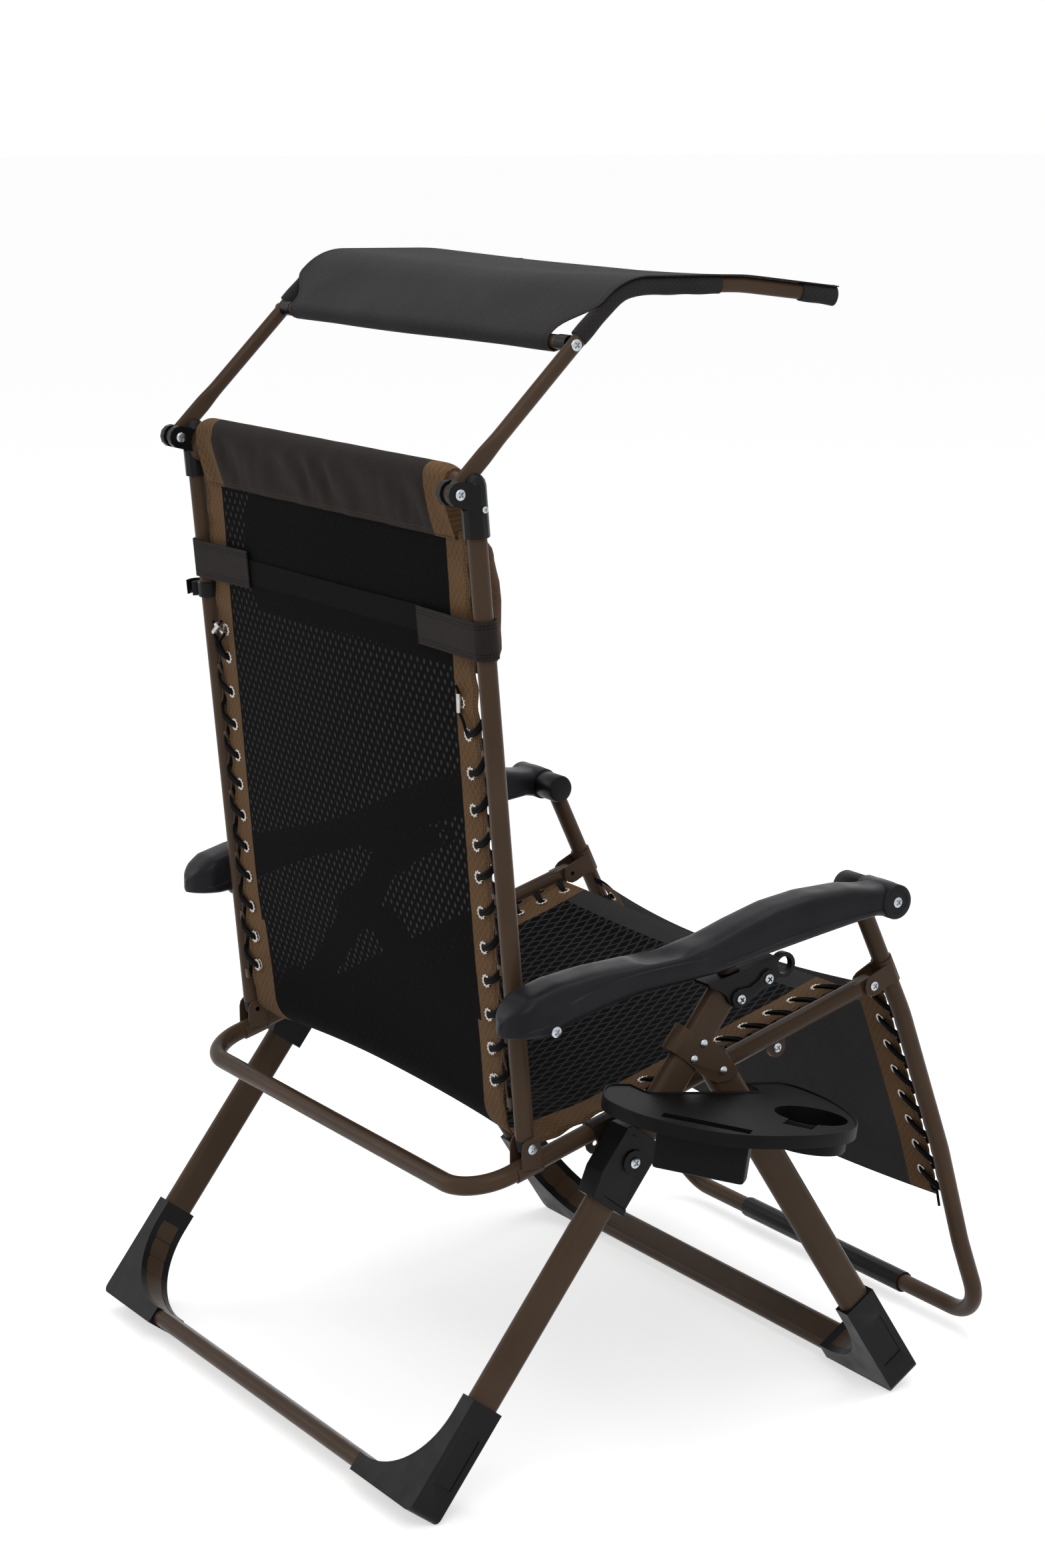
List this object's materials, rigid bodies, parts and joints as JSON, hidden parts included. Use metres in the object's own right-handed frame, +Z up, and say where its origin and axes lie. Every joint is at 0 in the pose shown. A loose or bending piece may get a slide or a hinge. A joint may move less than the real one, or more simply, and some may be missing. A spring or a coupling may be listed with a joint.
{
  "type": "sun lounger with canopy",
  "caption": "Reclining garden lounger with a laced cloth seat, linked arms and leg rest, folding legs, tilting canopy, head pillow and clip-on side tray.",
  "frame": {"origin": "on the floor under the middle of the whole part at rest", "axes": "+Z up, the sitter faces -Y, the right side is -X"},
  "size_m": [0.968, 0.9018, 1.3607],
  "materials": {
    "brown_paint": "satin powder coat",
    "black_plastic": "fine satin moulding",
    "black_mesh": "woven open mesh",
    "charcoal_cloth": "ripstop weave",
    "tan_cloth": "woven outdoor cloth",
    "black_elastic": "braided elastic",
    "zinc_steel": "zinc plate"
  },
  "bodies": {
    "base": {"rear_leg_frame": "brown_paint", "rear_foot_right": "black_plastic", "post_right": "brown_paint", "leg_joint_right": "black_plastic", "cross_bracket_right": "brown_paint", "lock_housing_right": "black_plastic", "seat_pivot_bolt_right": "zinc_steel", "rear_foot_left": "black_plastic", "post_left": "brown_paint", "leg_joint_left": "black_plastic", "cross_bracket_left": "brown_paint", "lock_housing_left": "black_plastic", "seat_pivot_bolt_left": "zinc_steel", "side_tray": "black_plastic"},
    "front_legs": {"front_leg_frame": "brown_paint", "front_foot_right": "black_plastic", "front_leg_plug_right": "black_plastic", "front_foot_left": "black_plastic", "front_leg_plug_left": "black_plastic"},
    "seat": {"seat_frame": "brown_paint", "seat_saddle_right": "brown_paint", "back_saddle_right": "brown_paint", "back_pivot_bolt_right": "zinc_steel", "seat_lacing_right": "black_elastic", "seat_saddle_left": "brown_paint", "back_saddle_left": "brown_paint", "back_pivot_bolt_left": "zinc_steel", "seat_lacing_left": "black_elastic", "seat_panel": "black_mesh"},
    "back": {"back_frame": "brown_paint", "back_tube_plug_right": "black_plastic", "canopy_socket_right": "black_plastic", "canopy_pivot_bolt_right": "zinc_steel", "back_lacing_right": "black_elastic", "back_tube_plug_left": "black_plastic", "canopy_socket_left": "black_plastic", "canopy_pivot_bolt_left": "zinc_steel", "back_lacing_left": "black_elastic", "back_panel": "black_mesh", "headrest_pillow": "tan_cloth", "pillow_strap": "charcoal_cloth", "canopy_clip": "black_plastic"},
    "leg_rest": {"leg_rest_frame": "brown_paint", "arm_knuckle_right": "black_plastic", "knee_clamp_right": "brown_paint", "leg_lacing_right": "black_elastic", "arm_knuckle_left": "black_plastic", "knee_clamp_left": "brown_paint", "leg_lacing_left": "black_elastic", "heel_grip": "black_plastic", "leg_panel": "charcoal_cloth"},
    "arm_right": {"armrest_right": "black_plastic"},
    "arm_left": {"armrest_left": "black_plastic"},
    "canopy": {"canopy_arm_right": "brown_paint", "canopy_arm_left": "brown_paint", "canopy_bar": "brown_paint", "canopy_cloth": "charcoal_cloth"},
    "lock_right": {"lock_ring_right": "black_plastic"},
    "lock_left": {"lock_ring_left": "black_plastic"}
  },
  "joints": [
    {"name": "front_leg_fold", "type": "hinge", "parent": "base", "child": "front_legs", "pos_m": [0.082, 0.02608, 0.46106], "axis": [1, 0, 0], "range_deg": [0, 52]},
    {"name": "seat_tilt", "type": "hinge", "parent": "base", "child": "seat", "pos_m": [0.082, 0.15258, 0.37606], "axis": [1, 0, 0], "range_deg": [-9.9, 0]},
    {"name": "back_recline", "type": "hinge", "parent": "seat", "child": "back", "pos_m": [0.082, 0.25508, 0.39606], "axis": [1, 0, 0], "range_deg": [-31, 0]},
    {"name": "legrest_lift", "type": "hinge", "parent": "seat", "child": "leg_rest", "pos_m": [0.082, -0.23492, 0.50606], "axis": [1, 0, 0], "range_deg": [-44, 0]},
    {"name": "arm_right_swing", "type": "hinge", "parent": "back", "child": "arm_right", "pos_m": [-0.252, 0.26708, 0.55306], "axis": [1, 0, 0], "range_deg": [0, 33.5]},
    {"name": "arm_left_swing", "type": "hinge", "parent": "back", "child": "arm_left", "pos_m": [0.416, 0.26708, 0.55306], "axis": [1, 0, 0], "range_deg": [0, 33.5]},
    {"name": "canopy_tilt", "type": "hinge", "parent": "back", "child": "canopy", "pos_m": [0.082, 0.34408, 1.14006], "axis": [1, 0, 0], "range_deg": [-205, 15]},
    {"name": "lock_right_pull", "type": "slide", "parent": "base", "child": "lock_right", "axis": [0, -0.9, 0.4359], "range_m": [0, 0.006], "stiffness_N_per_m": 900, "springref_m": -0.004},
    {"name": "lock_left_pull", "type": "slide", "parent": "base", "child": "lock_left", "axis": [0, -0.9, 0.4359], "range_m": [0, 0.006], "stiffness_N_per_m": 900, "springref_m": -0.004}
  ],
  "couplings": [
    {"joint": "seat_tilt", "follows": "back_recline", "ratio": 0.302},
    {"joint": "legrest_lift", "follows": "back_recline", "ratio": 1.373},
    {"joint": "arm_right_swing", "follows": "back_recline", "ratio": -1.073},
    {"joint": "arm_left_swing", "follows": "back_recline", "ratio": -1.073}
  ]
}
